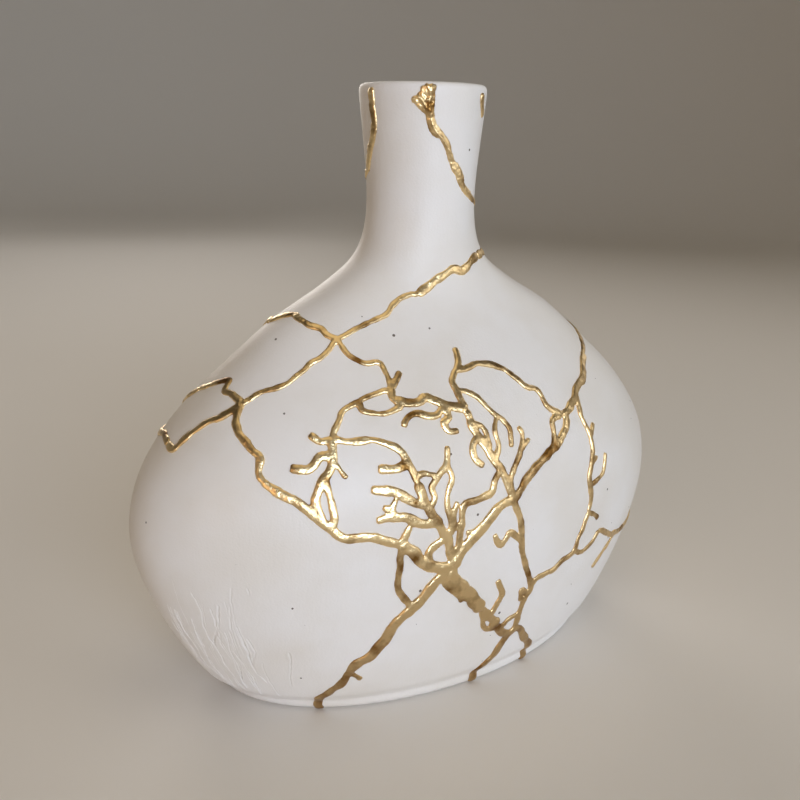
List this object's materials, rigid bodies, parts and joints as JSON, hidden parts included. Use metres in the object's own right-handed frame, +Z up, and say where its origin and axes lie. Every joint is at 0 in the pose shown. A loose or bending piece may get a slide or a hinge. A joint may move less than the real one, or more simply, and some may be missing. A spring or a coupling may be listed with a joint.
{
  "type": "kintsugi vase",
  "caption": "Oval flattened ceramic bottle vase with a narrow round neck, hollow and open at the mouth, mended all over with raised gold seams.",
  "frame": {"origin": "middle of the flat underside, on the plane that the vase stands on", "axes": "+Z up through the neck; +X along the long axis of the oval; -Y is the broad front face with the most seams"},
  "size_m": [0.231, 0.1258, 0.22],
  "materials": {
    "white_ceramic": "satin",
    "gold_lacquer": "gloss"
  },
  "bodies": {
    "root": {"vase_body": "white_ceramic", "gold_wall_seams": "gold_lacquer", "gold_neck_seams": "gold_lacquer", "gold_neck_tick": "gold_lacquer"}
  },
  "joints": []
}
